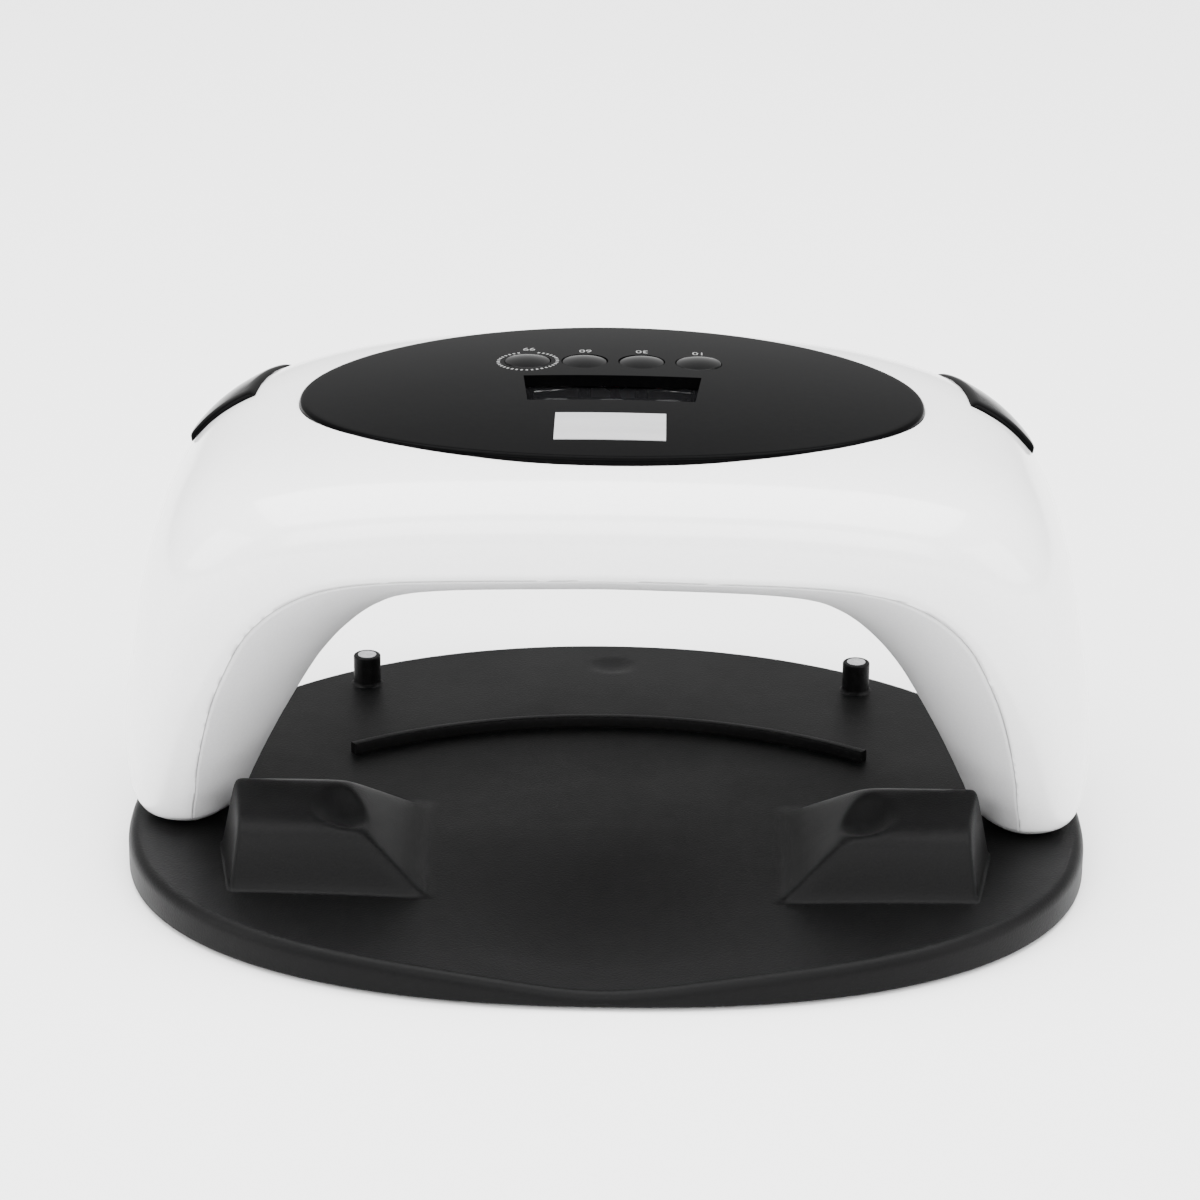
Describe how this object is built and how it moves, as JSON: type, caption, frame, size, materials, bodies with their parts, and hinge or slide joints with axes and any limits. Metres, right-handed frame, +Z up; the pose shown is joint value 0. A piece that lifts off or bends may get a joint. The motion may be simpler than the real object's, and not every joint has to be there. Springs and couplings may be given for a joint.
{
  "type": "uv curing lamp",
  "caption": "Arch-shaped LED curing lamp head with an oval control panel, lifting off a flat oval hand base with thumb rests and magnetic locating posts.",
  "frame": {"origin": "centre of the footprint, on the surface that the rubber feet stand on", "axes": "+X to the right across the arch, +Y from the hand opening to the rear, +Z up; the lamp head is seated on its base at rest"},
  "size_m": [0.2456, 0.205, 0.1174],
  "materials": {
    "base_black": "fine-grained moulded black ABS",
    "foot_rubber": "matt rubber",
    "magnet_nickel": "nickel-plated magnet",
    "screw_steel": "zinc-plated steel",
    "shell_white": "high-gloss white ABS",
    "liner_white": "satin white ABS",
    "panel_black": "piano black",
    "window_smoke": "smoked clear plastic",
    "display_grey": "seven-segment display",
    "badge_silver": "satin silver foil",
    "button_black": "piano black",
    "switch_grey": "switch body",
    "board_green": "glass-epoxy board",
    "led_board": "white-coated aluminium-core board",
    "led_lens": "clear LED lens",
    "sensor_dark": "infrared window",
    "jack_black": "moulded nylon",
    "lead_red": "PVC insulation",
    "lead_dark": "PVC insulation"
  },
  "bodies": {
    "base": {"base_plate": "base_black", "base_cover": "base_black", "base_screws": "screw_steel", "base_feet": "foot_rubber", "post_magnets": "magnet_nickel"},
    "lamp": {"outer_shell": "shell_white", "inner_liner": "liner_white", "liner_screws": "screw_steel", "foot_caps": "shell_white", "foot_magnets": "magnet_nickel", "top_panel": "panel_black", "display_window": "window_smoke", "display_module": "display_grey", "badge_plate": "badge_silver", "vent_cover_left": "panel_black", "vent_cover_right": "panel_black", "tact_switches": "switch_grey", "control_board": "board_green", "board_screws": "screw_steel", "led_board_top": "led_board", "led_board_left": "led_board", "led_board_right": "led_board", "led_emitters_top": "led_lens", "led_emitters_left": "led_lens", "led_emitters_right": "led_lens", "hand_sensors": "sensor_dark", "dc_jack": "jack_black", "jack_nut": "screw_steel", "power_lead": "lead_red", "led_lead_left": "lead_dark", "led_lead_right": "lead_dark"},
    "button_low_heat_body": {"button_low_heat": "button_black"},
    "button_60s_body": {"button_60s": "button_black"},
    "button_30s_body": {"button_30s": "button_black"},
    "button_10s_body": {"button_10s": "button_black"}
  },
  "joints": [
    {"name": "lamp_lift", "type": "slide", "parent": "base", "child": "lamp", "axis": [0, 0, 1], "range_m": [0, 0.0417]},
    {"name": "button_low_heat_press", "type": "slide", "parent": "lamp", "child": "button_low_heat_body", "axis": [0, 0, 1], "range_m": [-0.0008, 0], "stiffness_N_per_m": 900},
    {"name": "button_60s_press", "type": "slide", "parent": "lamp", "child": "button_60s_body", "axis": [0, 0, 1], "range_m": [-0.0008, 0], "stiffness_N_per_m": 900},
    {"name": "button_30s_press", "type": "slide", "parent": "lamp", "child": "button_30s_body", "axis": [0, 0, 1], "range_m": [-0.0008, 0], "stiffness_N_per_m": 900},
    {"name": "button_10s_press", "type": "slide", "parent": "lamp", "child": "button_10s_body", "axis": [0, 0, 1], "range_m": [-0.0008, 0], "stiffness_N_per_m": 900}
  ]
}
